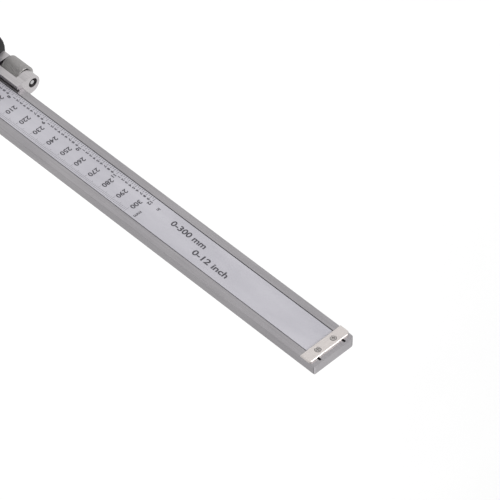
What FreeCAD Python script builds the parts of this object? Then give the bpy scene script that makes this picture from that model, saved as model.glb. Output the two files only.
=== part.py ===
import FreeCAD, Part
import math
import os
import Sketcher

# Digital height gauge for marking out: a base casting carries a graduated column, a slider with a
# display and a jaw, a fine-adjustment carriage above it, and a clamped scriber with a carbide tip.
# Row frame: +Z up the column, the front faces -Y, the jaw points to -X, origin on the base sole
# under the column. Millimetres. The slider stands at a reading of 90 mm.

SIZES = [
    # base casting and its column clamp
    ("base_left", 50.0),
    ("base_right", 60.0),
    ("base_half_depth", 36.0),
    ("base_plate_high", 20.0),
    ("post_half_width", 21.0),
    ("post_front", 20.0),
    ("post_high", 39.0),
    ("sole_relief", 2.0),
    ("sole_relief_near", 9.0),
    ("sole_relief_far", 28.0),
    ("sole_relief_margin", 8.0),
    ("grip_low", 6.0),
    ("grip_high", 14.0),
    ("grip_depth", 3.0),
    ("grip_margin", 14.0),
    ("clamp_plate_thick", 6.0),
    ("clamp_plate_low", 21.0),
    ("clamp_screw_across", 16.5),
    ("clamp_screw_spread", 5.0),
    # column, scale board, printed label and end stop
    ("beam_width", 26.5),
    ("beam_thick", 5.2),
    ("beam_foot", 8.0),
    ("beam_top", 474.6),
    ("recess_width", 17.7),
    ("recess_depth", 1.6),
    ("recess_low", 48.0),
    ("recess_high", 466.0),
    ("groove_centre", 7.9),
    ("groove_width", 1.2),
    ("groove_depth", 2.5),
    ("groove_high", 473.5),
    ("board_width", 17.2),
    ("board_thick", 1.2),
    ("label_width", 17.4),
    ("label_thick", 0.3),
    ("stop_low", 465.4),
    ("stop_high", 471.8),
    ("stop_width", 26.3),
    ("stop_thick", 1.0),
    ("stop_corner", 2.2),
    ("stop_screw_across", 5.0),
    ("stop_screw_high", 468.7),
    ("stop_head_radius", 1.45),
    ("stop_sink_radius", 1.7),
    # slider
    ("reading", 90.0),
    ("guide_gap", 0.05),
    ("slider_low", 132.0),
    ("slider_high", 217.6),
    ("slider_left", 24.4),
    ("slider_right", 22.0),
    ("slider_front", 5.5),
    ("slider_back", 3.1),
    ("gib_thick", 1.6),
    ("gib_height", 4.0),
    ("back_plate_thick", 1.6),
    ("arm_inner", 23.0),
    ("arm_low", 22.0),
    ("arm_high", 64.0),
    ("arm_elbow", 38.0),
    ("jaw_inner", 51.5),
    ("jaw_reach", 67.0),
    ("jaw_low", 11.05),
    ("jaw_high", 32.0),
    ("jaw_half_thick", 4.3),
    ("jaw_middle", -1.2),
    # display housing
    ("housing_low", 136.0),
    ("housing_high", 218.9),
    ("housing_half", 24.7),
    ("housing_back", 5.6),
    ("housing_front", 17.0),
    ("housing_wall", 1.8),
    ("lid_width", 27.0),
    ("lid_high", 162.0),
    ("lid_thick", 1.2),
    ("cell_high", 150.0),
    ("cell_radius", 10.0),
    ("button_height", 173.0),
    ("button_pitch", 12.0),
    ("button_radius", 3.6),
    ("lcd_low", 184.0),
    ("lcd_high", 206.0),
    ("lcd_half_width", 16.4),
    # fine adjustment carriage, rod and nut
    ("carriage_low", 221.2),
    ("carriage_high", 245.4),
    ("carriage_half_thick", 5.6),
    ("lip_edge", 9.7),
    ("carriage_right", 20.5),
    ("lip_thick", 2.0),
    ("lip_relief_edge", 10.9),
    ("ear_low_inside", 225.8),
    ("ear_low_reach", 22.3),
    ("ear_high_inside", 240.0),
    ("ear_centre", 18.5),
    ("ear_forward", 1.1),
    ("ear_radius", 5.5),
    ("window_wall", 13.8),
    ("rod_across", 19.8),
    ("rod_forward", 1.7),
    ("rod_radius", 1.5),
    ("rod_hole_radius", 2.65),
    ("rod_high", 244.8),
    ("rod_low", 206.0),
    ("nut_radius", 5.6),
    ("nut_bore", 1.55),
    ("nut_low", 227.0),
    ("nut_high", 239.6),
    # scriber and its clamp
    ("scriber_half_thick", 4.0),
    ("scriber_high", 11.0),
    ("scriber_root", 58.0),
    ("scriber_reach", 120.0),
    ("carbide_root", 108.0),
    ("carbide_high", 2.2),
    ("bow_across", 59.0),
    ("bow_half_length", 6.0),
    ("bow_top", 38.0),
    ("bow_screw_radius", 2.5),
    ("bow_half_width", 7.8),
    ("bow_gap", 0.3),
]

COLUMN_CLAMP_SCREWS = 4
BACK_PLATE_SCREWS = 4
HOUSING_SCREWS = 4

doc = FreeCAD.newDocument("height_gauge")
sheet = doc.addObject("Spreadsheet::Sheet", "sizes")
VALUE = {}
for row, (alias, value) in enumerate(SIZES, start=1):
    sheet.set(f"A{row}", alias)
    sheet.set(f"B{row}", str(value))
    sheet.setAlias(f"B{row}", alias)
    VALUE[alias] = value
doc.recompute()

NODES = []


def bound(text):
    """Turn a formula in plain size names into an expression on the sheet."""
    words = []
    word = ""
    for mark in text + " ":
        if mark.isalnum() or mark in "_.":
            word += mark
            continue
        words.append(f"sizes.{word}" if word in VALUE else word)
        words.append(mark)
        word = ""
    return "".join(words).strip()


def keep(item, label):
    """Name a finished sub-part."""
    item.Label = label
    NODES.append(item)
    return item


def set_place(item, spot):
    for axis, formula in zip("xyz", spot):
        item.setExpression(f"Placement.Base.{axis}", bound(formula))


def block(name, low, high):
    """Box between two corners given as formulas."""
    item = doc.addObject("Part::Box", name)
    for field, start, end in zip(("Length", "Width", "Height"), low, high):
        item.setExpression(field, bound(f"({end}) - ({start})"))
    set_place(item, low)
    return item


TURN = {
    "+X": FreeCAD.Rotation(FreeCAD.Vector(0, 1, 0), 90),
    "-X": FreeCAD.Rotation(FreeCAD.Vector(0, 1, 0), -90),
    "+Y": FreeCAD.Rotation(FreeCAD.Vector(1, 0, 0), -90),
    "-Y": FreeCAD.Rotation(FreeCAD.Vector(1, 0, 0), 90),
    "+Z": FreeCAD.Rotation(),
    "-Z": FreeCAD.Rotation(FreeCAD.Vector(1, 0, 0), 180),
}


def rod(name, start, way, radius, length):
    """Cylinder from a start point along an axis."""
    item = doc.addObject("Part::Cylinder", name)
    item.setExpression("Radius", bound(str(radius)))
    item.setExpression("Height", bound(str(length)))
    item.Placement.Rotation = TURN[way]
    set_place(item, start)
    return item


def cone(name, start, way, radius_start, radius_end, length):
    item = doc.addObject("Part::Cone", name)
    item.setExpression("Radius1", bound(str(radius_start)))
    item.setExpression("Radius2", bound(str(radius_end)))
    item.setExpression("Height", bound(str(length)))
    item.Placement.Rotation = TURN[way]
    set_place(item, start)
    return item


def fuse(name, items):
    item = doc.addObject("Part::MultiFuse", name)
    item.Shapes = items
    item.Refine = True
    return item


def cut(name, base, tools):
    item = doc.addObject("Part::Cut", name)
    item.Base = base
    item.Tool = tools[0] if len(tools) == 1 else fuse(f"{name}_tools", tools)
    item.Refine = True
    return item


def group(name, items):
    """Several separate solids kept in one sub-part."""
    item = doc.addObject("Part::Compound", name)
    item.Links = items
    return item


def polygon(body, name, plane, corners, lift):
    """Closed outline on one of the body's own origin planes, every corner bound to the sheet."""
    sketch = body.newObject("Sketcher::SketchObject", name)
    sketch.AttachmentSupport = (
        [item for item in body.Origin.OriginFeatures if item.Role == plane][0], "")
    sketch.MapMode = "FlatFace"
    sketch.setExpression("AttachmentOffset.Base.z", bound(lift))
    count = len(corners)
    ring = []
    for index in range(count):
        angle = 2 * math.pi * index / count
        ring.append(FreeCAD.Vector(10 * math.cos(angle), 10 * math.sin(angle), 0))
    for index in range(count):
        sketch.addGeometry(Part.LineSegment(ring[index], ring[(index + 1) % count]), False)
    for index in range(count):
        sketch.addConstraint(
            Sketcher.Constraint("Coincident", index, 2, (index + 1) % count, 1))
    for index, corner in enumerate(corners):
        starts = (ring[index].x, ring[index].y)
        for kind, formula, start in zip(("DistanceX", "DistanceY"), corner, starts):
            number = sketch.addConstraint(Sketcher.Constraint(kind, -1, 1, index, 1, start))
            sketch.setExpression(f"Constraints[{number}]", bound(formula))
    return sketch


def prism(body, name, plane, corners, low, high, pocket=False):
    """Pad or pocket a polygon between two heights along the plane's row axis."""
    along_minus = plane == "XZ_Plane"
    lift = f"-({high})" if along_minus else low
    sketch = polygon(body, f"{name}_outline", plane, corners, lift)
    kind = "PartDesign::Pocket" if pocket else "PartDesign::Pad"
    feature = body.newObject(kind, name)
    feature.Profile = sketch
    feature.setExpression("Length", bound(f"({high}) - ({low})"))
    if pocket:
        feature.Reversed = True
    sketch.Visibility = False
    body.Tip = feature
    doc.recompute()
    return feature


def rectangle(a_low, a_high, b_low, b_high):
    return [(a_low, b_low), (a_high, b_low), (a_high, b_high), (a_low, b_high)]


def round_edges(body, name, base, test, radius, bevel=False):
    """Fillet or chamfer every straight edge of a feature that passes a test."""
    picked = []
    for number, edge in enumerate(base.Shape.Edges, start=1):
        if len(edge.Vertexes) == 2 and test(edge.Vertexes[0].Point, edge.Vertexes[1].Point):
            picked.append(f"Edge{number}")
    feature = body.newObject("PartDesign::Chamfer" if bevel else "PartDesign::Fillet", name)
    feature.Base = (base, picked)
    if bevel:
        feature.Size = radius
    else:
        feature.Radius = radius
    body.Tip = feature
    doc.recompute()
    return feature


def near(value, *targets):
    return any(abs(value - target) < 0.01 for target in targets)


def upright(first, second):
    return near(first.x, second.x) and near(first.y, second.y)


# --- base casting -------------------------------------------------------------------------------
base = doc.addObject("PartDesign::Body", "base_body")
plate = prism(base, "base_plate", "XY_Plane",
              rectangle("-base_left", "base_right", "-base_half_depth", "base_half_depth"),
              "0", "base_plate_high")
plate = round_edges(
    base, "plate_corners", plate,
    lambda a, b: upright(a, b), 7.0)
plate = round_edges(
    base, "plate_top", plate,
    lambda a, b: near(a.z, VALUE["base_plate_high"]) and near(b.z, VALUE["base_plate_high"]),
    2.0, bevel=True)
post = prism(base, "post", "XY_Plane",
             rectangle("-post_half_width", "post_half_width",
                       "-post_front", "beam_thick / 2 + guide_gap"),
             "base_plate_high - 3", "post_high")
post = round_edges(
    base, "post_corners", post,
    lambda a, b: upright(a, b) and near(a.y, -VALUE["post_front"])
    and max(a.z, b.z) > VALUE["post_high"] - 1, 5.0)
post = round_edges(
    base, "post_top", post,
    lambda a, b: near(a.z, VALUE["post_high"]) and near(b.z, VALUE["post_high"])
    and min(a.y, b.y) < 0, 1.5, bevel=True)
prism(base, "column_slot", "XY_Plane",
      rectangle("-beam_width / 2", "beam_width / 2", "-beam_thick / 2",
                "beam_thick / 2 + 1"),
      "beam_foot", "post_high + 1", pocket=True)
for side, (near_edge, far_edge) in enumerate((("sole_relief_near", "sole_relief_far"),
                                              ("-sole_relief_far", "-sole_relief_near"))):
    prism(base, f"sole_relief_{side}", "XY_Plane",
          rectangle("-base_left + sole_relief_margin", "base_right - sole_relief_margin",
                    near_edge, far_edge),
          "-1", "sole_relief", pocket=True)
for side in (-1, 1):
    prism(base, f"finger_groove_{'front' if side < 0 else 'back'}", "YZ_Plane",
          [(f"{side} * (base_half_depth + 1)", "grip_low"),
           (f"{side} * (base_half_depth + 1)", "grip_high"),
           (f"{side} * (base_half_depth - grip_depth)", "grip_high - 2"),
           (f"{side} * (base_half_depth - grip_depth)", "grip_low + 2")],
          "-base_left + grip_margin", "base_right - grip_margin", pocket=True)

# --- column clamp plate and its screws ----------------------------------------------------------
clamp_face = "beam_thick / 2 + guide_gap"
clamp_plate = doc.addObject("PartDesign::Body", "clamp_plate_body")
plate = prism(clamp_plate, "clamp_plate_pad", "XZ_Plane",
              rectangle("-post_half_width", "post_half_width", "clamp_plate_low", "post_high"),
              clamp_face, f"{clamp_face} + clamp_plate_thick")
plate = round_edges(
    clamp_plate, "clamp_plate_bevel", plate,
    lambda a, b: min(a.y, b.y) > VALUE["clamp_plate_thick"] + 2, 1.0, bevel=True)
clamp_heads = []
clamp_screws = []
base_taps = []
for number in range(COLUMN_CLAMP_SCREWS):
    across = "clamp_screw_across" if number % 2 else "-clamp_screw_across"
    rise = "clamp_screw_spread" if number // 2 else "-clamp_screw_spread"
    high = f"(clamp_plate_low + post_high) / 2 + {rise}"
    spot = (across, f"{clamp_face} + 3", high)
    clamp_heads.append(rod(f"clamp_head_seat_{number}", spot, "+Y", 2.9, 5))
    clamp_heads.append(rod(f"clamp_hole_{number}", (across, "0", high), "+Y", 1.6, 8))
    base_taps.append(rod(f"base_tap_{number}", (across, "-9", high), "+Y", 1.52, 14))
    head = rod(f"clamp_head_{number}", spot, "+Y", 2.75, 2.8)
    shank = rod(f"clamp_shank_{number}", (across, "-8", high), "+Y", 1.5, f"{clamp_face} + 11")
    socket = rod(f"clamp_socket_{number}", (across, f"{clamp_face} + 4.2", high), "+Y", 1.3, 3)
    clamp_screws.append(cut(f"clamp_screw_{number}", fuse(f"clamp_blank_{number}", [head, shank]),
                            [socket]))
keep(cut("base_cut", base, base_taps), "base_block")
keep(cut("clamp_plate_cut", clamp_plate, clamp_heads), "column_clamp_plate")
keep(group("clamp_screw_group", clamp_screws), "column_clamp_screws")

# --- column, scale board, label and end stop ----------------------------------------------------
column = doc.addObject("PartDesign::Body", "column_body")
beam = prism(column, "beam", "XY_Plane",
             rectangle("-beam_width / 2", "beam_width / 2", "-beam_thick / 2", "beam_thick / 2"),
             "beam_foot", "beam_top")
beam = round_edges(
    column, "beam_bevel", beam,
    lambda a, b: upright(a, b), 0.35, bevel=True)
beam = round_edges(
    column, "beam_left_end", beam,
    lambda a, b: near(a.z, b.z) and near(a.x, b.x) and a.z > 400 and a.x < -13, 2.5)
beam = round_edges(
    column, "beam_right_end", beam,
    lambda a, b: near(a.z, b.z) and near(a.x, b.x) and a.z > 400 and a.x > 13, 0.8)
prism(column, "scale_recess", "XY_Plane",
      rectangle("-recess_width / 2", "recess_width / 2",
                "-beam_thick / 2 - 1", "-beam_thick / 2 + recess_depth"),
      "recess_low", "recess_high", pocket=True)
for side in (-1, 1):
    prism(column, f"edge_groove_{side + 1}", "XY_Plane",
          rectangle(f"{side} * groove_centre - groove_width / 2",
                    f"{side} * groove_centre + groove_width / 2",
                    "-beam_thick / 2 - 1", "-beam_thick / 2 + groove_depth"),
          "recess_low", "groove_high", pocket=True)
front = "-beam_thick / 2"
keep(cut("column_cut", column,
         [rod(f"column_tap_{side + 1}", (f"{side} * stop_screw_across", front, "stop_screw_high"),
              "+Y", 0.85, 4)
          for side in (-1, 1)]), "column_beam")

keep(block("board_strip",
           ("-board_width / 2", f"{front} + recess_depth - board_thick", "recess_low + 0.2"),
           ("board_width / 2", f"{front} + recess_depth", "recess_high - 0.2")), "scale_board")
keep(block("label_strip",
           ("-label_width / 2", f"{front} + recess_depth - board_thick - label_thick",
            "recess_low + 0.2"),
           ("label_width / 2", f"{front} + recess_depth - board_thick", "recess_high - 0.2")),
     "scale_label")

stop_body = doc.addObject("PartDesign::Body", "stop_body")
stop = prism(stop_body, "stop_pad", "XZ_Plane",
             rectangle("-stop_width / 2", "stop_width / 2", "stop_low", "stop_high"),
             f"{front} - stop_thick", front)
stop = round_edges(
    stop_body, "stop_left_corner", stop,
    lambda a, b: near(a.x, b.x) and near(a.z, b.z) and a.z > VALUE["stop_high"] - 1 and a.x < 0,
    VALUE["stop_corner"])
stop = round_edges(
    stop_body, "stop_right_corner", stop,
    lambda a, b: near(a.x, b.x) and near(a.z, b.z) and a.z > VALUE["stop_high"] - 1 and a.x > 0,
    1.0)
stop = round_edges(
    stop_body, "stop_bevel", stop,
    lambda a, b: near(a.y, b.y) and a.y < -VALUE["beam_thick"] / 2 - 0.5, 0.3, bevel=True)
stop_tools = []
stop_screws = []
for side in (-1, 1):
    mark = side + 1
    spot_x = f"{side} * stop_screw_across"
    stop_tools.append(rod(f"stop_hole_{mark}", (spot_x, f"{front} - 2", "stop_screw_high"),
                          "+Y", 0.9, 6))
    stop_tools.append(cone(f"stop_sink_{mark}", (spot_x, f"{front} - stop_thick - 0.01",
                                                 "stop_screw_high"), "+Y",
                           "stop_sink_radius", 0.9, "stop_thick - 0.04"))
    head = cone(f"stop_head_{mark}", (spot_x, f"{front} - stop_thick + 0.02", "stop_screw_high"),
                "+Y", "stop_head_radius", 0.84, "stop_thick - 0.06")
    shank = rod(f"stop_shank_{mark}", (spot_x, f"{front} - 0.05", "stop_screw_high"),
                "+Y", 0.8, 3.8)
    slots = []
    for turn, (half_x, half_z) in enumerate(((1.0, 0.2), (0.2, 1.0))):
        slots.append(block(f"stop_slot_{mark}_{turn}",
                           (f"{spot_x} - {half_x}", f"{front} - stop_thick - 1",
                            f"stop_screw_high - {half_z}"),
                           (f"{spot_x} + {half_x}", f"{front} - stop_thick + 0.42",
                            f"stop_screw_high + {half_z}")))
    stop_screws.append(cut(f"stop_screw_{mark}", fuse(f"stop_blank_{mark}", [head, shank]), slots))
keep(cut("stop_cut", stop_body, stop_tools), "end_stop_plate")
keep(group("stop_screw_group", stop_screws), "end_stop_screws")

# --- slider frame with its jaw ------------------------------------------------------------------
left_guide = "-(beam_width / 2 + guide_gap)"
right_guide = "beam_width / 2 + guide_gap + gib_thick + 0.1"
slider = doc.addObject("PartDesign::Body", "slider_body")
prism(slider, "slider_pad", "XZ_Plane",
      [("-slider_left", "reading + arm_high"),
       ("-arm_elbow + 2", "reading + arm_high - 8"),
       ("-arm_elbow", "reading + jaw_high + 8"),
       ("-arm_elbow - 8", "reading + jaw_high"),
       ("-jaw_reach", "reading + jaw_high"),
       ("-jaw_reach", "reading + jaw_low"),
       ("-jaw_inner", "reading + jaw_low"),
       ("-jaw_inner", "reading + arm_low"),
       ("-arm_inner", "reading + arm_low"),
       ("-arm_inner", "slider_low"),
       ("slider_right", "slider_low"),
       ("slider_right", "slider_high"),
       ("-slider_left", "slider_high")],
      "-slider_front", "slider_back")
prism(slider, "beam_channel", "XY_Plane",
      rectangle(left_guide, right_guide, "-(beam_thick / 2 + guide_gap)", "slider_back + 1"),
      "slider_low - 1", "slider_high + 1", pocket=True)
prism(slider, "sensor_window", "XZ_Plane",
      rectangle("-11", "11", "slider_low + 12", "slider_high - 12"),
      "-slider_front - 1", "0", pocket=True)
slider_tools = [
    rod("rod_socket", ("-rod_across", "-rod_forward", "rod_low"), "+Z", "rod_radius + 0.02", 20),
    rod("lock_hole", ("beam_width / 2", "0", "(slider_low + slider_high) / 2"), "+X", 2.05, 12),
]
gib_spots = ("slider_low + 14", "slider_high - 14")
for number, high in enumerate(gib_spots):
    slider_tools.append(rod(f"gib_hole_{number}", ("beam_width / 2", "0", high), "+X", 1.52, 12))
back_spots = []
for number in range(BACK_PLATE_SCREWS):
    across = "(slider_right + 15) / 2" if number % 2 else "-(slider_left + 13.5) / 2"
    rise = "slider_high - 20" if number // 2 else "slider_low + 20"
    back_spots.append((across, rise))
for number, (across, high) in enumerate(back_spots):
    slider_tools.append(rod(f"back_tap_{number}", (across, "slider_back - 3", high),
                            "+Y", 1.02, 5))
housing_spots = []
for number in range(HOUSING_SCREWS):
    across = "17.6" if number % 2 else "-16.4"
    rise = "slider_high - 5" if number // 2 else "slider_low + 10"
    housing_spots.append((across, rise))
for number, (across, high) in enumerate(housing_spots):
    slider_tools.append(rod(f"housing_pass_{number}", (across, "-slider_front - 1", high),
                            "+Y", 1.15, 12))
    slider_tools.append(rod(f"housing_seat_{number}", (across, "slider_back - 1.8", high),
                            "+Y", 2.0, 4))
keep(cut("slider_cut", slider, slider_tools), "slider_frame")

back_plate = block("back_blank", ("-slider_left + 0.6", "slider_back", "slider_low"),
                   ("slider_right - 0.6", "slider_back + back_plate_thick", "slider_high - 0.4"))
pad = block("back_pad", ("-beam_width / 2 + 1", "beam_thick / 2 + guide_gap", "slider_low + 2"),
            ("beam_width / 2 - 1", "slider_back + 0.1", "slider_high - 2"))
back_tools = []
back_screws = []
for number, (across, high) in enumerate(back_spots):
    outer = "slider_back + back_plate_thick"
    back_tools.append(rod(f"back_hole_{number}", (across, "slider_back - 1", high), "+Y", 1.1, 4))
    head = rod(f"back_head_{number}", (across, outer, high), "+Y", 1.9, 1.1)
    shank = rod(f"back_shank_{number}", (across, "slider_back - 2.6", high),
                "+Y", 1.0, "back_plate_thick + 2.7")
    slots = []
    for turn, (half_x, half_z) in enumerate(((1.2, 0.22), (0.22, 1.2))):
        slots.append(block(f"back_slot_{number}_{turn}",
                           (f"{across} - {half_x}", f"{outer} + 0.5", f"{high} - {half_z}"),
                           (f"{across} + {half_x}", f"{outer} + 2", f"{high} + {half_z}")))
    back_screws.append(cut(f"back_screw_{number}", fuse(f"back_screw_blank_{number}",
                                                        [head, shank]), slots))
keep(cut("back_plate_cut", fuse("back_plate_blank", [back_plate, pad]), back_tools),
     "slider_back_plate")
keep(group("back_screw_group", back_screws), "back_plate_screws")

keep(block("gib_strip_bar", ("beam_width / 2 + guide_gap", "-gib_height / 2", "slider_low + 3"),
           ("beam_width / 2 + guide_gap + gib_thick", "gib_height / 2", "slider_high - 3")),
     "gib_strip")
gib_screws = []
for number, high in enumerate(gib_spots):
    start = "beam_width / 2 + guide_gap + gib_thick"
    shank = rod(f"gib_shank_{number}", (start, "0", high), "+X", 1.5, f"slider_right - ({start})")
    socket = rod(f"gib_socket_{number}", ("slider_right - 1.3", "0", high), "+X", 0.75, 3)
    gib_screws.append(cut(f"gib_screw_{number}", shank, [socket]))
keep(group("gib_screw_group", gib_screws), "gib_screws")


def clamp_knob(name, start_x, face_x, height, head_radius, head_length, label):
    """Knurled thumb screw on the right-hand side, threaded shank towards the column."""
    shank = rod(f"{name}_shank", (start_x, "0", height), "+X", 2.0, f"({face_x}) - ({start_x})")
    collar = rod(f"{name}_collar", (f"{face_x} - 0.01", "0", height), "+X", head_radius - 1.3, 1.4)
    head = rod(f"{name}_head", (f"{face_x} + 1.3", "0", height), "+X", head_radius, head_length)
    dish = rod(f"{name}_dish", (f"{face_x} + 1.3 + {head_length} - 0.6", "0", height),
               "+X", head_radius - 1.6, 2)
    return keep(cut(f"{name}_turned", fuse(f"{name}_blank", [shank, collar, head]), [dish]), label)


clamp_knob("slider_knob", "beam_width / 2 + guide_gap + gib_thick + 0.15", "slider_right + 0.3",
           "(slider_low + slider_high) / 2", 5.0, 8.0, "slider_lock_knob")

# --- fine adjustment rod ------------------------------------------------------------------------
keep(fuse("rod_turned", [
    rod("rod_bar", ("-rod_across", "-rod_forward", "rod_low"), "+Z", "rod_radius",
        "rod_high - rod_low - 2"),
    rod("rod_pilot", ("-rod_across", "-rod_forward", "rod_high - 3"), "+Z", "rod_radius - 0.35", 3),
]), "fine_adjust_rod")

# --- display housing ----------------------------------------------------------------------------
housing = doc.addObject("PartDesign::Body", "housing_body")
SIDE_CURVE = [
    ("0", "0"), ("0.2", "1"), ("0.6", "3.2"), ("1.2", "5"), ("2.3", "7.6"), ("4.2", "9.8"),
    ("6.1", "10.9"), ("7.9", "11.4"),
]
outline = [(f"-housing_half + {inset}", f"-housing_back - {rise}") for inset, rise in SIDE_CURVE]
outline += [(f"housing_half - {inset}", f"-housing_back - {rise}")
            for inset, rise in reversed(SIDE_CURVE)]
shell = prism(housing, "housing_pad", "XY_Plane", outline, "housing_low", "housing_high")
shell = round_edges(
    housing, "housing_end_corners", shell,
    lambda a, b: near(a.z, b.z) and near(a.y, b.y) and near(a.y, -VALUE["housing_front"]), 1.5)
prism(housing, "housing_hollow", "XY_Plane",
      [("-housing_half + 2.1", "-housing_back + 1"),
       ("-housing_half + 2.6", "-housing_back - 3"),
       ("-housing_half + 4.6", "-housing_back - 8"),
       ("-housing_half + 7.5", "-housing_front + housing_wall"),
       ("housing_half - 7.5", "-housing_front + housing_wall"),
       ("housing_half - 4.6", "-housing_back - 8"),
       ("housing_half - 2.6", "-housing_back - 3"),
       ("housing_half - 2.1", "-housing_back + 1")],
      "housing_low + housing_wall", "housing_high - housing_wall", pocket=True)
prism(housing, "screen_opening", "XZ_Plane",
      rectangle("-lcd_half_width", "lcd_half_width", "lcd_low", "lcd_high"),
      "-housing_front - 1", "-housing_front + 4", pocket=True)
prism(housing, "lid_seat", "XZ_Plane",
      rectangle("-lid_width / 2", "lid_width / 2", "housing_low - 1", "lid_high"),
      "-housing_front - 1", "-housing_front + 1.3", pocket=True)
housing_tools = []
for number in (-1, 0, 1):
    housing_tools.append(rod(f"button_hole_{number + 1}",
                             (f"{number} * button_pitch", "-housing_front - 1", "button_height"),
                             "+Y", "button_radius + 0.3", 5))
housing_tools.append(rod("battery_mouth", ("0", "-housing_front - 1", "cell_high"), "+Y",
                         "cell_radius + 0.4", 5))
skirt_low, skirt_high = "slider_high + 0.1", "housing_high"
bosses = [
    block("skirt_left", ("-housing_half", "-housing_back - 0.5", skirt_low),
          ("-beam_width / 2 - 0.4", "slider_back + 1.5", skirt_high)),
    block("skirt_right", (f"{right_guide} + 0.3", "-housing_back - 0.5", skirt_low),
          ("housing_half", "slider_back + 1.5", skirt_high)),
]
housing_tools.append(rod("skirt_rod_hole", ("-rod_across", "-rod_forward", "slider_high - 1"),
                         "+Z", "rod_radius + 0.5", 4))
for number, (across, high) in enumerate(housing_spots):
    end_wall = "housing_high - 1" if number // 2 else "housing_low + 1"
    inner = f"{high} - 3" if number // 2 else f"{high} + 3"
    ends = (inner, end_wall) if number // 2 else (end_wall, inner)
    bosses.append(block(f"boss_{number}", (f"{across} - 3", "-housing_back - 8", ends[0]),
                        (f"{across} + 3", "-housing_back", ends[1])))
    housing_tools.append(rod(f"boss_hole_{number}", (across, "-housing_back + 1", high),
                             "-Y", 0.95, 8))
keep(cut("housing_cut", fuse("housing_blank", [housing] + bosses), housing_tools),
     "display_housing")

keep(cut("lid_turned",
         block("lid_blank", ("-lid_width / 2 + 0.25", "-housing_front + 0.05", "housing_low"),
               ("lid_width / 2 - 0.25", "-housing_front + 0.05 + lid_thick", "lid_high - 0.3")),
         [block(f"lid_grip_{number}",
                ("-7", "-housing_front - 1", f"housing_low + 4 + {number} * 2"),
                ("7", "-housing_front + 0.45", f"housing_low + 4.9 + {number} * 2"))
          for number in range(4)]), "battery_cover")
keep(rod("cell", ("0", "-housing_front + 1.9", "cell_high"), "+Y", "cell_radius", 3.2),
     "battery_cell")
keep(fuse("contact_blank",
          [block("contact_bar", ("-3", "-housing_front + 5.3", "cell_high - 7"),
                 ("3", "-housing_front + 5.6", "cell_high + 7")),
           block("contact_foot", ("-1.5", "-housing_front + 5.5", "cell_high + 3"),
                 ("1.5", "-housing_front + 7.2", "cell_high + 6"))]), "battery_contact")
keep(block("board", ("-19.0", "-housing_front + 7.2", "housing_low + 10"),
           ("19.0", "-housing_front + 8.2", "housing_high - 10")), "circuit_board")
keep(block("lcd_cell", ("-lcd_half_width - 0.8", "-housing_front + 1.9", "lcd_low - 1"),
           ("lcd_half_width + 0.8", "-housing_front + 4.4", "lcd_high + 1")), "lcd_panel")
keep(block("window_pane", ("-lcd_half_width + 0.15", "-housing_front + 0.3", "lcd_low + 0.15"),
           ("lcd_half_width - 0.15", "-housing_front + 1.8", "lcd_high - 0.15")), "lcd_window")
for number, label in ((-1, "button_power"), (0, "button_zero"), (1, "button_unit")):
    spot_x = f"{number} * button_pitch"
    cap = rod(f"{label}_cap", (spot_x, "-housing_front - 1.2", "button_height"),
              "+Y", "button_radius", 4.8)
    flange = rod(f"{label}_flange", (spot_x, "-housing_front + 2.2", "button_height"),
                 "+Y", "button_radius + 1.2", 1.0)
    stem = rod(f"{label}_stem", (spot_x, "-housing_front + 3.5", "button_height"), "+Y", 1.5, 2.8)
    keep(fuse(f"{label}_blank", [cap, flange, stem]), label)
housing_screws = []
for number, (across, high) in enumerate(housing_spots):
    head = rod(f"housing_head_{number}", (across, "slider_back - 1.75", high), "+Y", 1.85, 1.5)
    shank = rod(f"housing_shank_{number}", (across, "slider_back - 1.7", high), "-Y", 0.9,
                "slider_back - 1.7 + housing_back + 5.5")
    slots = []
    for turn, (half_x, half_z) in enumerate(((1.1, 0.2), (0.2, 1.1))):
        slots.append(block(f"housing_slot_{number}_{turn}",
                           (f"{across} - {half_x}", "slider_back - 0.8", f"{high} - {half_z}"),
                           (f"{across} + {half_x}", "slider_back + 1", f"{high} + {half_z}")))
    housing_screws.append(cut(f"housing_screw_{number}",
                              fuse(f"housing_screw_blank_{number}", [head, shank]), slots))
keep(group("housing_screw_group", housing_screws), "housing_screws")

# --- fine adjustment carriage -------------------------------------------------------------------
carriage = doc.addObject("PartDesign::Body", "carriage_body")
ear_back = "ear_radius - ear_forward"
block_pad = prism(carriage, "carriage_pad", "XY_Plane",
                  [("-ear_centre", "-carriage_half_thick"),
                   ("carriage_right", "-carriage_half_thick"),
                   ("carriage_right", "carriage_half_thick"),
                   ("-ear_centre + 3.5", "carriage_half_thick"),
                   ("-ear_centre + 2.5", ear_back),
                   ("-ear_centre", ear_back)],
                  "carriage_low", "carriage_high")
block_pad = round_edges(
    carriage, "carriage_right_corners", block_pad,
    lambda a, b: upright(a, b) and a.x > 0, 1.0)
prism(carriage, "carriage_channel", "XY_Plane",
      rectangle(left_guide, right_guide, "-(beam_thick / 2 + guide_gap)",
                "beam_thick / 2 + guide_gap"),
      "carriage_low - 1", "carriage_high + 1", pocket=True)
prism(carriage, "carriage_front_gap", "XY_Plane",
      rectangle("-lip_edge", "lip_edge", "-carriage_half_thick - 1", "0"),
      "carriage_low - 1", "carriage_high + 1", pocket=True)
prism(carriage, "carriage_lip_relief", "XY_Plane",
      rectangle("-lip_relief_edge", "lip_relief_edge", "-carriage_half_thick + lip_thick", "0"),
      "carriage_low - 1", "carriage_high + 1", pocket=True)
ear_round = rod("ear_round", ("-ear_centre", "-ear_forward", "carriage_low + 2"), "+Z",
                "ear_radius", "carriage_high - carriage_low - 2")
ear_window = block("ear_window",
                   ("-ear_centre - 8", "-carriage_half_thick - 3", "ear_low_inside"),
                   ("-window_wall", "carriage_half_thick + 2", "ear_high_inside"))
ear_square = block("ear_square", ("-ear_low_reach", "-carriage_half_thick", "carriage_low"),
                   ("-window_wall", ear_back, "ear_low_inside"))
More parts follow.
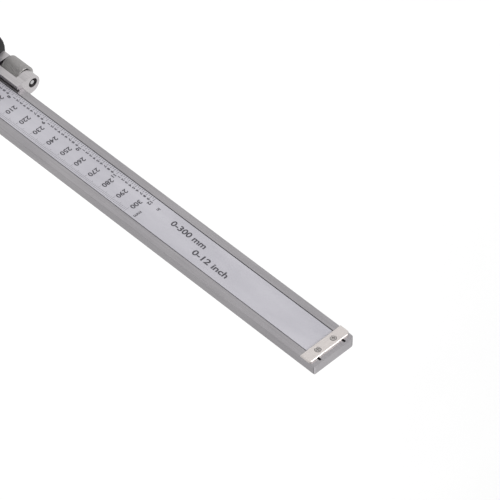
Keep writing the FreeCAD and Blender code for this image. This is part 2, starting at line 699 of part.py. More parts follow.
ear_trim = block("ear_trim", ("-ear_centre - 8", "-carriage_half_thick - 3", "carriage_low - 1"),
                 ("-ear_low_reach", "carriage_half_thick + 1", "ear_low_inside"))
ear_face = block("ear_face", ("-ear_centre - 8", "-carriage_half_thick - 3", "carriage_low - 1"),
                 ("0", "-carriage_half_thick", "ear_low_inside"))
beam_passage = block("beam_passage",
                     (left_guide, "-(beam_thick / 2 + guide_gap)", "carriage_low - 1"),
                     ("0", "beam_thick / 2 + guide_gap", "carriage_high + 1"))
rod_passage = rod("rod_passage", ("-rod_across", "-rod_forward", "carriage_low - 1"), "+Z",
                  "rod_hole_radius", 27)
carriage_lock_hole = rod("carriage_lock_hole",
                         ("beam_width / 2", "0", "(carriage_low + carriage_high) / 2"),
                         "+X", 2.05, 9)
keep(cut("carriage_cut", fuse("carriage_blank", [carriage, ear_round, ear_square]),
         [ear_window, ear_trim, ear_face, beam_passage, rod_passage, carriage_lock_hole]), "carriage_block")
keep(block("carriage_gib_bar",
           ("beam_width / 2 + guide_gap", "-gib_height / 2", "carriage_low + 1"),
           ("beam_width / 2 + guide_gap + gib_thick", "gib_height / 2", "carriage_high - 1")),
     "carriage_gib")
clamp_knob("carriage_knob", "beam_width / 2 + guide_gap + gib_thick + 0.15",
           "carriage_right + 0.3", "(carriage_low + carriage_high) / 2", 4.6, 7.0,
           "carriage_lock_knob")

nut_body = rod("nut_bar", ("-rod_across", "-rod_forward", "nut_low"), "+Z", "nut_radius",
               "nut_high - nut_low")
keep(cut("nut_turned", nut_body,
         [rod("nut_hole", ("-rod_across", "-rod_forward", "nut_low - 1"), "+Z", "nut_bore", 16)]),
     "fine_adjust_nut")

# --- scriber, clamp bow and clamp screw ---------------------------------------------------------
bow = doc.addObject("PartDesign::Body", "bow_body")
ring = prism(bow, "bow_pad", "YZ_Plane",
             rectangle("jaw_middle - bow_half_width", "jaw_middle + bow_half_width",
                       "reading + 1.8", "reading + bow_top"),
             "-bow_across - bow_half_length", "-bow_across + bow_half_length")
ring = round_edges(
    bow, "bow_corners", ring,
    lambda a, b: near(a.y, b.y) and near(a.z, b.z), 2.5)
prism(bow, "bow_loop", "YZ_Plane",
      rectangle("jaw_middle - jaw_half_thick - bow_gap", "jaw_middle + jaw_half_thick + bow_gap",
                "reading + 4.95", "reading + 32.8"),
      "-bow_across - bow_half_length - 1", "-bow_across + bow_half_length + 1", pocket=True)
keep(cut("bow_cut", bow,
         [rod("bow_tap", ("-bow_across", "jaw_middle", "reading + 30"), "+Z",
              "bow_screw_radius + 0.05", 10)]), "scriber_clamp")
screw = fuse("bow_screw_blank", [
    rod("bow_screw_shank", ("-bow_across", "jaw_middle", "reading + 32.05"), "+Z",
        "bow_screw_radius", "bow_top - 31.7"),
    rod("bow_screw_collar", ("-bow_across", "jaw_middle", "reading + bow_top + 0.3"), "+Z", 4.2, 1.6),
    rod("bow_screw_head", ("-bow_across", "jaw_middle", "reading + bow_top + 1.8"),
        "+Z", 6.0, 9.0),
])
keep(cut("bow_screw_turned", screw,
         [rod("bow_screw_dish", ("-bow_across", "jaw_middle", "reading + bow_top + 10.2"), "+Z",
              4.2, 2)]), "clamp_screw")

scriber = doc.addObject("PartDesign::Body", "scriber_body")
prism(scriber, "scriber_pad", "XZ_Plane",
      [("-scriber_root", "reading + 5"),
       ("-86", "reading + 5"),
       ("-91", "reading"),
       ("-carbide_root", "reading"),
       ("-carbide_root", "reading + carbide_high"),
       ("-scriber_reach + 2", "reading + carbide_high"),
       ("-scriber_reach + 2", "reading + carbide_high + 0.4"),
       ("-96", "reading + scriber_high"),
       ("-scriber_root", "reading + scriber_high")],
      "jaw_middle - scriber_half_thick", "jaw_middle + scriber_half_thick")
keep(scriber, "scriber_bar")
tip = doc.addObject("PartDesign::Body", "tip_body")
prism(tip, "tip_pad", "XZ_Plane",
      [("-carbide_root", "reading"),
       ("-scriber_reach", "reading"),
       ("-scriber_reach", "reading + 0.25"),
       ("-scriber_reach + 2", "reading + carbide_high"),
       ("-carbide_root", "reading + carbide_high")],
      "jaw_middle - scriber_half_thick", "jaw_middle + scriber_half_thick")
keep(tip, "carbide_tip")

doc.recompute()
for item in doc.Objects:
    if "Invalid" in item.State or "Error" in item.State:
        raise RuntimeError(f"{item.Name} failed: {item.State}")
os.makedirs("parts", exist_ok=True)
for item in NODES:
    if item.Shape.isNull() or not item.Shape.isValid() or not item.Shape.Solids:
        raise RuntimeError(f"{item.Label} has no valid solid")
    item.Shape.exportStep(f"parts/{item.Label}.step")
    print(item.Label, len(item.Shape.Solids), round(item.Shape.Volume, 1))
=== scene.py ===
import math

import bmesh
import bpy
from mathutils import Matrix, Vector


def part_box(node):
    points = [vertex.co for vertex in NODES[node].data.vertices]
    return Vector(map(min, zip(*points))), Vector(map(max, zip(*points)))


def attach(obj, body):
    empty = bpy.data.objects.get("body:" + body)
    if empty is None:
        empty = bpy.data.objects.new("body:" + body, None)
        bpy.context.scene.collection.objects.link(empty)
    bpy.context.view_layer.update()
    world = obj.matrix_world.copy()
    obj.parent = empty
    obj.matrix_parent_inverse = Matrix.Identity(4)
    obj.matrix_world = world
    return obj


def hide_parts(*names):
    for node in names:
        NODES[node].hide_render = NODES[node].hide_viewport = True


# Looks of the digital height gauge. Metres, the same frame as the CAD: +Z up the column, the
# graduated front faces -Y, the jaw and scriber point to -X.

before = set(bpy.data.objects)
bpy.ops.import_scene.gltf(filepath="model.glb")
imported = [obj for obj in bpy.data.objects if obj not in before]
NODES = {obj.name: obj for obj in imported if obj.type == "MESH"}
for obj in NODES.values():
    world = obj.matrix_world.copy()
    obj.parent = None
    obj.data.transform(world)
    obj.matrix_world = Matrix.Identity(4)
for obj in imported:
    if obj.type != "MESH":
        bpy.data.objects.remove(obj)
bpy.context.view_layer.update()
MM = 0.001
SCALE_ZERO = 42 * MM


# --- materials ----------------------------------------------------------------------------------

def material(name, metallic=0.0, coat=0.0):
    """New node material; returns it with its node tree and its shader."""
    item = bpy.data.materials.new(name)
    item.use_nodes = True
    tree = item.node_tree
    shader = tree.nodes["Principled BSDF"]
    shader.inputs["Metallic"].default_value = metallic
    shader.inputs["Coat Weight"].default_value = coat
    shader.inputs["Coat Roughness"].default_value = 0.25
    return item, tree, shader


def noise(tree, stretch, detail=4.0, rough=0.55, seed=0.0):
    """Noise in object space; stretch is cycles per metre along X, Y and Z."""
    coord = tree.nodes.new("ShaderNodeTexCoord")
    mapping = tree.nodes.new("ShaderNodeMapping")
    mapping.inputs["Location"].default_value = (seed, seed * 0.7, seed * 1.3)
    mapping.inputs["Scale"].default_value = stretch
    texture = tree.nodes.new("ShaderNodeTexNoise")
    texture.inputs["Scale"].default_value = 1.0
    texture.inputs["Detail"].default_value = detail
    texture.inputs["Roughness"].default_value = rough
    tree.links.new(coord.outputs["Object"], mapping.inputs["Vector"])
    tree.links.new(mapping.outputs["Vector"], texture.inputs["Vector"])
    return texture.outputs["Fac"]


def ramp(tree, factor, stops):
    """Colour ramp; stops are (position, colour)."""
    item = tree.nodes.new("ShaderNodeValToRGB")
    points = item.color_ramp.elements
    while len(points) < len(stops):
        points.new(0.5)
    for point, (position, colour) in zip(points, stops):
        point.position = position
        point.color = (*colour, 1.0)
    tree.links.new(factor, item.inputs["Fac"])
    return item.outputs["Color"]


def spread(tree, factor, low, high):
    item = tree.nodes.new("ShaderNodeMapRange")
    item.inputs["From Min"].default_value = 0.3
    item.inputs["From Max"].default_value = 0.7
    item.inputs["To Min"].default_value = low
    item.inputs["To Max"].default_value = high
    tree.links.new(factor, item.inputs["Value"])
    return item.outputs["Result"]


def blend_colour(tree, factor, first, second, mode="MIX"):
    item = tree.nodes.new("ShaderNodeMix")
    item.data_type = "RGBA"
    item.blend_type = mode
    for socket, value in (("Factor", factor), ("A", first), ("B", second)):
        slot = [s for s in item.inputs if s.name == socket and s.enabled][0]
        if hasattr(value, "is_linked"):
            tree.links.new(value, slot)
        else:
            slot.default_value = value if socket == "Factor" else (*value, 1.0)
    return [s for s in item.outputs if s.enabled][0]


def bump(tree, shader, height, strength, distance):
    item = tree.nodes.new("ShaderNodeBump")
    item.inputs["Strength"].default_value = strength
    item.inputs["Distance"].default_value = distance
    tree.links.new(height, item.inputs["Height"])
    tree.links.new(item.outputs["Normal"], shader.inputs["Normal"])


def scaled(colour, gain):
    return tuple(min(1.0, part * gain) for part in colour)


def brushed(name, colour, grain, roughness, contrast=0.12, depth=0.25, metallic=1.0, seed=0.0):
    """Ground or brushed metal; grain is the stretch of the scratches."""
    item, tree, shader = material(name, metallic)
    fine = noise(tree, grain, detail=6.0, rough=0.65, seed=seed)
    broad = noise(tree, (60, 60, 25), detail=3.0, seed=seed + 4)
    streaks = ramp(tree, fine, [(0.25, scaled(colour, 1 - contrast)), (0.75, scaled(colour, 1 + contrast))])
    clouds = ramp(tree, broad, [(0.3, (0.90, 0.90, 0.91)), (0.7, (1.0, 1.0, 1.0))])
    tree.links.new(blend_colour(tree, 1.0, streaks, clouds, "MULTIPLY"), shader.inputs["Base Color"])
    tree.links.new(spread(tree, fine, roughness - 0.07, roughness + 0.09), shader.inputs["Roughness"])
    bump(tree, shader, fine, depth, 0.00002)
    return item


def moulded(name, colour, roughness, grain=2600, depth=0.3, specular=0.5):
    """Moulded plastic or rubber with a fine spark-eroded texture and handling marks."""
    item, tree, shader = material(name)
    shader.inputs["Specular IOR Level"].default_value = specular
    fine = noise(tree, (grain, grain, grain), detail=3.0)
    marks = noise(tree, (150, 150, 150), detail=5.0, seed=3)
    tone = ramp(tree, marks, [(0.35, scaled(colour, 0.85)), (0.65, scaled(colour, 1.2))])
    tree.links.new(tone, shader.inputs["Base Color"])
    tree.links.new(spread(tree, marks, roughness - 0.06, roughness + 0.08), shader.inputs["Roughness"])
    bump(tree, shader, fine, depth, 0.00003)
    return item


STEEL_LONG = (2400, 2400, 30)
STEEL_ROUND = (1500, 1500, 1500)

column_metal = brushed("column_brushed_steel", (0.342, 0.330, 0.341), STEEL_LONG, 0.38,
                       contrast=0.2)
stop_metal = brushed("end_stop_polished_steel", (0.63, 0.59, 0.57), (60, 1200, 1200), 0.44,
                     contrast=0.05, depth=0.12)
slider_metal = brushed("slider_satin_steel", (0.47, 0.452, 0.457), (1800, 1800, 60), 0.36, contrast=0.2,
                       seed=7)
jaw_metal = brushed("scriber_ground_steel", (0.60, 0.59, 0.58), (50, 1800, 1800), 0.30, seed=9)
screw_metal = brushed("screw_steel", (0.46, 0.455, 0.46), STEEL_ROUND, 0.33, seed=11)
stop_screw_metal = brushed("stop_screw_steel", (0.40, 0.38, 0.37), STEEL_ROUND, 0.36, seed=12)
knob_metal = brushed("knurled_steel", (0.335, 0.325, 0.32), (900, 900, 900), 0.36, seed=13)
carbide_metal = brushed("ground_carbide", (0.22, 0.22, 0.24), (200, 2500, 2500), 0.30, seed=17)
cell_metal = brushed("cell_nickel", (0.66, 0.66, 0.65), (1400, 1400, 1400), 0.28, seed=19)
brass_metal = brushed("gib_brass", (0.62, 0.45, 0.20), (1200, 1200, 60), 0.36, seed=23)
black_plastic = moulded("housing_black_plastic", (0.011, 0.011, 0.012), 0.42, specular=0.25)
key_rubber = moulded("key_grey_rubber", (0.20, 0.205, 0.215), 0.60, grain=1500)
red_rubber = moulded("key_red_rubber", (0.42, 0.04, 0.03), 0.58, grain=1500)


def label_film():
    """Grey printed film with faint mottling under a smooth clear face."""
    item, tree, shader = material("label_grey_film", coat=0.35)
    shader.inputs["Coat Roughness"].default_value = 0.18
    soft = noise(tree, (90, 90, 22), detail=4.0, seed=2)
    specks = noise(tree, (4200, 4200, 4200), detail=2.0, seed=5)
    tone = ramp(tree, soft, [(0.3, (0.392, 0.383, 0.422)), (0.7, (0.458, 0.448, 0.487))])
    grain = ramp(tree, specks, [(0.2, (0.95, 0.95, 0.95)), (0.8, (1.0, 1.0, 1.0))])
    tree.links.new(blend_colour(tree, 1.0, tone, grain, "MULTIPLY"), shader.inputs["Base Color"])
    tree.links.new(spread(tree, soft, 0.38, 0.48), shader.inputs["Roughness"])
    bump(tree, shader, specks, 0.06, 0.00001)
    return item


def ink(name, colour, roughness=0.5):
    """Screen-printed ink, slightly uneven."""
    item, tree, shader = material(name)
    uneven = noise(tree, (3000, 3000, 3000), detail=2.0)
    tree.links.new(ramp(tree, uneven, [(0.3, scaled(colour, 0.8)), (0.7, scaled(colour, 1.35))]),
                   shader.inputs["Base Color"])
    shader.inputs["Roughness"].default_value = roughness
    return item


def hammered_paint():
    """Dark grey stoved paint with a fine orange-peel skin and a gently uneven tone."""
    item, tree, shader = material("base_hammered_paint", coat=0.3)
    peel = noise(tree, (420, 420, 420), detail=2.0, rough=0.4)
    tone = noise(tree, (35, 35, 35), detail=4.0, seed=8)
    colour = ramp(tree, tone, [(0.3, (0.040, 0.043, 0.046)), (0.7, (0.062, 0.066, 0.070))])
    tree.links.new(colour, shader.inputs["Base Color"])
    tree.links.new(spread(tree, peel, 0.34, 0.50), shader.inputs["Roughness"])
    bump(tree, shader, peel, 0.35, 0.00015)
    return item


def circuit_green():
    item, tree, shader = material("circuit_green_mask", coat=0.4)
    weave = noise(tree, (1800, 1800, 1800), detail=2.0)
    tree.links.new(ramp(tree, weave, [(0.3, (0.010, 0.055, 0.022)), (0.7, (0.016, 0.080, 0.034))]),
                   shader.inputs["Base Color"])
    tree.links.new(spread(tree, weave, 0.32, 0.44), shader.inputs["Roughness"])
    bump(tree, shader, weave, 0.2, 0.00004)
    return item


def lcd_glass():
    """Grey-green reflective display cell."""
    item, tree, shader = material("lcd_grey_green", coat=0.5)
    soft = noise(tree, (80, 80, 80), detail=3.0)
    tree.links.new(ramp(tree, soft, [(0.3, (0.30, 0.335, 0.27)), (0.7, (0.345, 0.38, 0.31))]),
                   shader.inputs["Base Color"])
    tree.links.new(spread(tree, soft, 0.30, 0.38), shader.inputs["Roughness"])
    return item


def clear_pane():
    item, tree, shader = material("window_clear_acrylic")
    shader.inputs["Transmission Weight"].default_value = 1.0
    shader.inputs["IOR"].default_value = 1.10
    haze = noise(tree, (200, 200, 200), detail=3.0)
    tree.links.new(spread(tree, haze, 0.01, 0.05), shader.inputs["Roughness"])
    tree.links.new(ramp(tree, haze, [(0.3, (0.95, 0.96, 0.95)), (0.7, (1.0, 1.0, 1.0))]),
                   shader.inputs["Base Color"])
    return item


label_grey = label_film()
paint = hammered_paint()
board_green = circuit_green()
lcd_green = lcd_glass()
pane_clear = clear_pane()
print_ink = ink("scale_print_ink", (0.045, 0.042, 0.052))
border_ink = ink("scale_border_ink", (0.040, 0.038, 0.046))
display_ink = ink("display_segment_black", (0.018, 0.020, 0.022))
white_ink = ink("pad_print_white", (0.62, 0.62, 0.60))

NODE_LOOKS = {
    "base_block": paint,
    "column_clamp_plate": slider_metal,
    "column_clamp_screws": screw_metal,
    "column_beam": column_metal,
    "scale_board": board_green,
    "scale_label": label_grey,
    "end_stop_plate": stop_metal,
    "end_stop_screws": stop_screw_metal,
    "slider_frame": slider_metal,
    "slider_back_plate": slider_metal,
    "back_plate_screws": screw_metal,
    "gib_strip": brass_metal,
    "gib_screws": screw_metal,
    "fine_adjust_rod": screw_metal,
    "display_housing": black_plastic,
    "housing_screws": screw_metal,
    "circuit_board": board_green,
    "lcd_panel": lcd_green,
    "lcd_window": pane_clear,
    "battery_contact": cell_metal,
    "battery_cell": cell_metal,
    "battery_cover": black_plastic,
    "scriber_clamp": slider_metal,
    "scriber_bar": jaw_metal,
    "carbide_tip": carbide_metal,
    "carriage_block": slider_metal,
    "carriage_gib": brass_metal,
    "button_power": red_rubber,
    "button_zero": key_rubber,
    "button_unit": key_rubber,
}
for node_name, look in NODE_LOOKS.items():
    NODES[node_name].data.materials.clear()
    NODES[node_name].data.materials.append(look)

# Width of the broken edges that a file or a mould leaves on each piece.
EDGE_BREAKS = {
    "base_block": 0.5 * MM,
    "column_clamp_plate": 0.25 * MM,
    "column_beam": 0.12 * MM,
    "end_stop_plate": 0.1 * MM,
    "slider_frame": 0.22 * MM,
    "slider_back_plate": 0.2 * MM,
    "display_housing": 0.2 * MM,
    "battery_cover": 0.15 * MM,
    "carriage_block": 0.3 * MM,
    "scriber_clamp": 0.3 * MM,
    "scriber_bar": 0.12 * MM,
    "button_power": 0.35 * MM,
    "button_zero": 0.35 * MM,
    "button_unit": 0.35 * MM,
}
for node_name, width in EDGE_BREAKS.items():
    edge_break = NODES[node_name].modifiers.new("edge_break", "BEVEL")
    edge_break.width = width
    edge_break.segments = 2
    edge_break.limit_method = "ANGLE"
    edge_break.angle_limit = math.radians(35)


# --- mesh helpers -------------------------------------------------------------------------------

def publish(name, mesh_builder, look, body, smooth=False, replaced=()):
    """Turn a bmesh into a piece that rides on a body."""
    mesh = bpy.data.meshes.new(name)
    mesh_builder.to_mesh(mesh)
    mesh_builder.free()
    if smooth:
        for face in mesh.polygons:
            face.use_smooth = True
    mesh.materials.append(look)
    item = bpy.data.objects.new(name, mesh)
    bpy.context.scene.collection.objects.link(item)
    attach(item, body)
    if replaced:
        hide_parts(*replaced)
    return item


def turned(profile, axis, teeth=0, depth=0.0, segments=96):
    """Lathe shape: profile rows are (along, radius, knurled); teeth are cut where knurled is 1."""
    builder = bmesh.new()
    count = teeth * 4 if teeth else segments
    forward = Vector(axis).normalized()
    across = Vector((0, 0, 1)) if abs(forward.z) < 0.5 else Vector((1, 0, 0))
    side = forward.cross(across).normalized()
    across = side.cross(forward)
    rings = []
    for along, radius, knurled in profile:
        ring = []
        for index in range(count):
            angle = 2 * math.pi * index / count
            cutback = depth * (1, 0.45, 0, 0.45)[index % 4] if knurled and teeth else 0.0
            reach = max(radius - cutback, 0.0)
            place = forward * along + (across * math.cos(angle) + side * math.sin(angle)) * reach
            ring.append(builder.verts.new(place))
        rings.append(ring)
    for first, second in zip(rings, rings[1:]):
        for index in range(count):
            following = (index + 1) % count
            builder.faces.new((first[index], first[following], second[following], second[index]))
    for ring, flip in ((rings[0], True), (rings[-1], False)):
        builder.faces.new(list(reversed(ring)) if flip else ring)
    bmesh.ops.recalc_face_normals(builder, faces=builder.faces)
    return builder


def move(builder, offset):
    bmesh.ops.translate(builder, verts=builder.verts, vec=offset)
    return builder


# --- fine-adjust nut and thumb screws -----------------------------------------------------------

def box_middle(name):
    low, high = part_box(name)
    return (low + high) / 2


nut_low, nut_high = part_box("fine_adjust_nut")
nut_length = nut_high.z - nut_low.z
nut_radius = (nut_high.x - nut_low.x) / 2
NUT_BORE = 1.55 * MM
NUT_CHAMFER = 0.35 * MM
NUT_TEETH = 60
NUT_KNURL_DEPTH = 0.16 * MM
nut_crest = nut_radius - 0.05 * MM
nut_end = nut_radius - 0.4 * MM
nut_builder = turned([
    (0.0, NUT_BORE, 0),
    (0.0, nut_end, 0),
    (NUT_CHAMFER, nut_crest, 1),
    (nut_length - NUT_CHAMFER, nut_crest, 1),
    (nut_length, nut_end, 0),
    (nut_length, NUT_BORE, 0),
    (nut_length * 0.5, NUT_BORE, 0),
], (0, 0, 1), teeth=NUT_TEETH, depth=NUT_KNURL_DEPTH)
nut_middle = box_middle("fine_adjust_nut")
move(nut_builder, Vector((nut_middle.x, nut_middle.y, nut_low.z)))
publish("nut_knurled", nut_builder, knob_metal, "nut",
        replaced=("fine_adjust_nut",))

THREAD_SPACING = 0.35 * MM
THREAD_LEAD = 0.3 * MM
THREAD_RELIEF = (0.02 * MM, 0.24 * MM)
COLLAR_LENGTH = 1.5 * MM
SCREW_KNURL_DEPTH = 0.32 * MM


def thumb_screw(name, node, body, axis, shank_radius, collar_radius, head_radius, head_length,
                teeth):
    """Knurled head with a dished face, a collar and a threaded shank."""
    low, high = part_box(node)
    forward = Vector(axis)
    length = abs((high - low).dot(forward))
    head_start = length - head_length
    rows = [(0.0, shank_radius - 0.3 * MM, 0)]
    thread_end = head_start - COLLAR_LENGTH
    turns = int(thread_end / THREAD_SPACING)
    for number in range(turns):
        along = THREAD_LEAD + number * (thread_end - THREAD_LEAD) / turns
        relief = THREAD_RELIEF[0] if number % 2 else THREAD_RELIEF[1]
        rows.append((along, shank_radius - relief, 0))
    rows += [
        (thread_end, shank_radius - 0.05 * MM, 0),
        (thread_end, collar_radius - 0.2 * MM, 0),
        (thread_end + 0.3 * MM, collar_radius, 0),
        (head_start, collar_radius, 0),
        (head_start, head_radius - 0.6 * MM, 0),
        (head_start + 0.5 * MM, head_radius - 0.02 * MM, 1),
        (length - 0.6 * MM, head_radius - 0.02 * MM, 1),
        (length - 0.05 * MM, head_radius - 0.65 * MM, 0),
        (length - 0.05 * MM, head_radius - 1.5 * MM, 0),
        (length - 0.55 * MM, head_radius - 1.8 * MM, 0),
        (length - 0.60 * MM, 0.2 * MM, 0),
    ]
    builder = turned(rows, axis, teeth=teeth, depth=SCREW_KNURL_DEPTH)
    middle = (low + high) / 2
    start = middle - forward * (length / 2)
    move(builder, start)
    return publish(name, builder, knob_metal, body, replaced=(node,))


thumb_screw("slider_lock_knurled", "slider_lock_knob", "slider_lock", (1, 0, 0),
            2.0 * MM, 3.7 * MM, 5.0 * MM, 8.0 * MM, 34)
thumb_screw("carriage_lock_knurled", "carriage_lock_knob", "carriage_lock", (1, 0, 0),
            2.0 * MM, 3.3 * MM, 4.6 * MM, 7.0 * MM, 32)
thumb_screw("clamp_screw_knurled", "clamp_screw", "bow_screw", (0, 0, 1),
            2.5 * MM, 4.2 * MM, 6.0 * MM, 9.0 * MM, 40)


# --- printed scale ------------------------------------------------------------------------------

def add_quad(builder, low_x, high_x, low_z, high_z, y):
    corners = [builder.verts.new(spot) for spot in
               ((low_x, y, low_z), (high_x, y, low_z), (high_x, y, high_z), (low_x, y, high_z))]
    builder.faces.new(corners)


# Thickening of the lettering, as a share of its type size.
WEIGHT = 0.026
HEAVY = 0.045


def text_mesh(words, weight=WEIGHT):
    """Flat mesh of some words."""
    curve = bpy.data.curves.new("words", "FONT")
    curve.body = words
    curve.size = 1.0
    curve.resolution_u = 3
    curve.offset = weight
    item = bpy.data.objects.new("words", curve)
    bpy.context.scene.collection.objects.link(item)
    bpy.context.view_layer.update()
    shape = item.evaluated_get(bpy.context.evaluated_depsgraph_get())
    mesh = bpy.data.meshes.new_from_object(shape)
    bpy.data.objects.remove(item)
    bpy.data.curves.remove(curve)
    return mesh


def cap_height():
    mesh = text_mesh("0")
    rows = [vertex.co.y for vertex in mesh.vertices]
    return max(rows) - min(rows), (max(rows) + min(rows)) / 2


CAP, CAP_MIDDLE = cap_height()


def add_words(builder, words, height, centre, right, up, width=None, weight=WEIGHT):
    """Words centred on a point; right and up are the directions they are read in."""
    mesh = text_mesh(words, weight)
    columns = [vertex.co.x for vertex in mesh.vertices]
    middle = (max(columns) + min(columns)) / 2
    grow_up = height / CAP
    grow_across = width / (max(columns) - min(columns)) if width else grow_up
    right, up = Vector(right), Vector(up)
    for vertex in mesh.vertices:
        vertex.co = (Vector(centre) + right * ((vertex.co.x - middle) * grow_across)
                     + up * ((vertex.co.y - CAP_MIDDLE) * grow_up))
    builder.from_mesh(mesh)
    bpy.data.meshes.remove(mesh)


LABEL_HALF = 8.77 * MM
label_low, label_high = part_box("scale_label")
PRINT_Y = label_low.y - 0.02 * MM
READ = (1, 0, 0)
UPWARD = (0, 0, 1)


def label_x(share):
    """Share across the label, 0 at the millimetre edge and 1 at the inch edge."""
    return (0.5 - share) * 2 * LABEL_HALF


def tick(builder, height, share_low, share_high, width):
    low, high = sorted((label_x(share_low), label_x(share_high)))
    z = SCALE_ZERO + height
    add_quad(builder, low, high, z - width / 2, z + width / 2, PRINT_Y)


FIRST_MARK = 8
LAST_MARK = 300
MM_TICK_WIDTH = 0.13 * MM
MM_TICK_START = 0.055
INCH_TICK_WIDTH = 0.22 * MM
INCH_TICK_END = 0.965
INCH = 25.4 * MM
LAST_INCH = 12
TICKS_PER_INCH = 20

scale = bmesh.new()
for mark in range(FIRST_MARK, LAST_MARK + 1):
    inner = 0.235 if mark % 10 == 0 else 0.205 if mark % 5 == 0 else 0.165
    tick(scale, mark * MM, MM_TICK_START, inner, MM_TICK_WIDTH)
    if mark % 10 == 0:
        add_words(scale, str(mark), 2.9 * MM,
                  (label_x(0.44), PRINT_Y, SCALE_ZERO + (mark + 0.9) * MM), READ, UPWARD,
                  width=(6.3 if mark >= 100 else 4.1) * MM)
for step in range(1, LAST_INCH * TICKS_PER_INCH + 1):
    height = step * INCH / TICKS_PER_INCH
    if height < FIRST_MARK * MM:
        continue
    outer = 0.84 if step % TICKS_PER_INCH == 0 else 0.87 if step % 2 == 0 else 0.91
    tick(scale, height, outer, INCH_TICK_END, INCH_TICK_WIDTH)
    if step % TICKS_PER_INCH == 0:
        add_words(scale, str(step // TICKS_PER_INCH), 2.1 * MM,
                  (label_x(0.74), PRINT_Y, SCALE_ZERO + height), READ, UPWARD, weight=HEAVY)
    elif step % 2 == 0:
        add_words(scale, str(step // 2 % 10), 1.65 * MM,
                  (label_x(0.815), PRINT_Y, SCALE_ZERO + height), READ, UPWARD, weight=HEAVY)
add_words(scale, "mm", 2.0 * MM, (label_x(0.22), PRINT_Y, SCALE_ZERO + 306.3 * MM), READ, UPWARD,
          width=4.6 * MM)
add_words(scale, "in", 2.0 * MM, (label_x(0.74), PRINT_Y, SCALE_ZERO + 311 * MM), READ, UPWARD)
for words, share, height in (("0-300 mm", 0.68, 333 * MM), ("0-12 inch", 0.35, 353.5 * MM)):
    add_words(scale, words, 3.5 * MM, (label_x(share), PRINT_Y, SCALE_ZERO + height),
              UPWARD, (-1, 0, 0), width=23 * MM)
publish("scale_print", scale, print_ink, "stand")

border = bmesh.new()
BORDER_WIDTH = 0.3 * MM
for edge in (label_low.x, label_high.x - BORDER_WIDTH):
    add_quad(border, edge, edge + BORDER_WIDTH, label_low.z, label_high.z, PRINT_Y)
publish("scale_border", border, border_ink, "stand")


# --- display and key markings -------------------------------------------------------------------

SEGMENTS = {
    "0": "abcdef", "1": "bc", "2": "abged", "3": "abgcd", "4": "fgbc",
    "5": "afgcd", "6": "afgedc", "7": "abc", "8": "abcdefg", "9": "abcdfg",
}


def add_bar(builder, first, second, half, y):
    """One slim display bar with pointed ends between two points in the XZ plane."""
    a, b = Vector((first[0], 0, first[1])), Vector((second[0], 0, second[1]))
    along = (b - a).normalized()
    side = Vector((-along.z, 0, along.x)) * half
    shape = [a, a + along * half - side, b - along * half - side, b,
             b - along * half + side, a + along * half + side]
    builder.faces.new([builder.verts.new((p.x, y, p.z)) for p in shape])


def add_numeral(builder, digit, x, z, wide, high, half, y):
    lean = high * 0.08
    gap = half * 0.35
    top, mid, low = z + high, z + high / 2, z
    lines = {
        "a": ((x + gap + lean, top), (x + wide - gap + lean, top)),
        "g": ((x + gap + lean / 2, mid), (x + wide - gap + lean / 2, mid)),
        "d": ((x + gap, low), (x + wide - gap, low)),
        "f": ((x + lean / 2, mid + gap), (x + lean, top - gap)),
        "b": ((x + wide + lean / 2, mid + gap), (x + wide + lean, top - gap)),
        "e": ((x, low + gap), (x + lean / 2, mid - gap)),
        "c": ((x + wide, low + gap), (x + wide + lean / 2, mid - gap)),
    }
    for name in SEGMENTS[digit]:
        add_bar(builder, lines[name][0], lines[name][1], half, y)


lcd_low, lcd_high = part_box("lcd_panel")
reading = bmesh.new()
lcd_y = lcd_low.y - 0.03 * MM
digit_wide, digit_high, digit_step = 4.0 * MM, 9.4 * MM, 6.4 * MM
digits_x = -14.2 * MM
point_x = digits_x + 1.93 * digit_step
digits_z = (lcd_low.z + lcd_high.z) / 2 - digit_high / 2
for place, digit in enumerate("9000"):
    shift = 1.4 * MM if place > 1 else 0.0
    add_numeral(reading, digit, digits_x + place * digit_step + shift, digits_z, digit_wide,
                digit_high, 0.55 * MM, lcd_y)
add_quad(reading, point_x - 0.5 * MM, point_x + 0.6 * MM,
         digits_z - 0.5 * MM, digits_z + 0.6 * MM, lcd_y)
add_words(reading, "mm", 1.9 * MM, (13.9 * MM, lcd_y, digits_z + 1.2 * MM), READ, UPWARD,
          weight=0.0)
publish("display_numerals", reading, display_ink, "slider")

face_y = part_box("display_housing")[0].y - 0.02 * MM
PRINT_RISE = 6.4 * MM
POWER_LINE = 0.16 * MM
key_print = bmesh.new()
button_z = box_middle("button_zero").z
for spot, words in ((0.0, "0"), (box_middle("button_unit").x, "mm/in")):
    add_words(key_print, words, 1.7 * MM, (spot, face_y, button_z + PRINT_RISE), READ, UPWARD,
              weight=0.0)
power_x = box_middle("button_power").x


def add_arc(builder, centre, radius, half, start, end, y, steps=28):
    """Flat ring segment in the XZ plane, angles in degrees from +X."""
    inner, outer = [], []
    for index in range(steps + 1):
        angle = math.radians(start + (end - start) * index / steps)
        for ring, reach in ((inner, radius - half), (outer, radius + half)):
            ring.append(builder.verts.new((centre[0] + reach * math.cos(angle), y,
                                           centre[1] + reach * math.sin(angle))))
    for index in range(steps):
        builder.faces.new((inner[index], inner[index + 1], outer[index + 1], outer[index]))


add_arc(key_print, (power_x, button_z + PRINT_RISE), 0.95 * MM, POWER_LINE, 130, 410, face_y)
add_quad(key_print, power_x - POWER_LINE, power_x + POWER_LINE, button_z + 6.5 * MM,
         button_z + 7.7 * MM, face_y)
publish("key_markings", key_print, white_ink, "slider")


# --- camera, light and floor --------------------------------------------------------------------

LENS = 217.7
CAMERA_PLACE = Vector((0.6602, -1.0422, 1.0938))

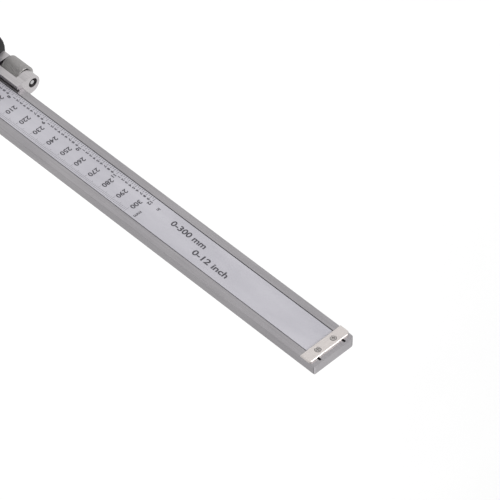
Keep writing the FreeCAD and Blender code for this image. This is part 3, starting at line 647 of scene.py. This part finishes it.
camera_data = bpy.data.cameras.new("camera")
camera_data.lens = LENS
camera_data.sensor_width = 36.0
camera_data.clip_end = 20.0
camera = bpy.data.objects.new("camera", camera_data)
bpy.context.scene.collection.objects.link(camera)
view_right = Vector((-0.7146, 0.0, 0.6995)).normalized()
view_forward = Vector((-0.4767, 0.7319, -0.4869)).normalized()
view_up = view_right.cross(view_forward).normalized()
camera.matrix_world = Matrix((
    (view_right.x, view_up.x, -view_forward.x, CAMERA_PLACE.x),
    (view_right.y, view_up.y, -view_forward.y, CAMERA_PLACE.y),
    (view_right.z, view_up.z, -view_forward.z, CAMERA_PLACE.z),
    (0, 0, 0, 1),
))
bpy.context.scene.camera = camera
bpy.context.scene.view_settings.view_transform = "Standard"

world = bpy.data.worlds.new("studio")
world.use_nodes = True
world.node_tree.nodes["Background"].inputs["Color"].default_value = (1.0, 1.0, 1.0, 1.0)
world.node_tree.nodes["Background"].inputs["Strength"].default_value = 0.62
bpy.context.scene.world = world


def soft_light(name, place, target, size, power):
    """Square area light aimed at a point; size in metres, power in watts."""
    data = bpy.data.lights.new(name, "AREA")
    data.shape = "SQUARE"
    data.size = size
    data.energy = power
    item = bpy.data.objects.new(name, data)
    item.location = place
    item.rotation_euler = (Vector(target) - Vector(place)).to_track_quat("-Z", "Y").to_euler()
    bpy.context.scene.collection.objects.link(item)


soft_light("key", (-0.9, -1.5, 2.0), (0, 0, 0.25), 1.2, 34)
soft_light("fill", (1.6, -1.0, 1.2), (0, 0, 0.25), 1.4, 4)
soft_light("rim", (0.2, 1.8, 1.6), (0, 0, 0.25), 1.6, 11)
soft_light("end_sheen", (-1.2, 1.9, 1.75), (0, 0, 0.35), 1.4, 4.2)

floor_builder = bmesh.new()
FLOOR_REACH = 6.0
corners = [(-FLOOR_REACH, -FLOOR_REACH), (FLOOR_REACH, -FLOOR_REACH),
           (FLOOR_REACH, FLOOR_REACH), (-FLOOR_REACH, FLOOR_REACH)]
floor_builder.faces.new([floor_builder.verts.new((x, y, 0.0)) for x, y in corners])
floor_mesh = bpy.data.meshes.new("floor")
floor_builder.to_mesh(floor_mesh)
floor_builder.free()
floor_look, floor_tree, floor_shader = material("floor_pale")
floor_tone = noise(floor_tree, (3, 3, 3), detail=2.0)
floor_tree.links.new(ramp(floor_tree, floor_tone, [(0.3, (0.93, 0.93, 0.93)), (0.7, (0.95, 0.95, 0.95))]),
                     floor_shader.inputs["Base Color"])
floor_shader.inputs["Roughness"].default_value = 0.9
floor_mesh.materials.append(floor_look)
floor = bpy.data.objects.new("floor", floor_mesh)
bpy.context.scene.collection.objects.link(floor)
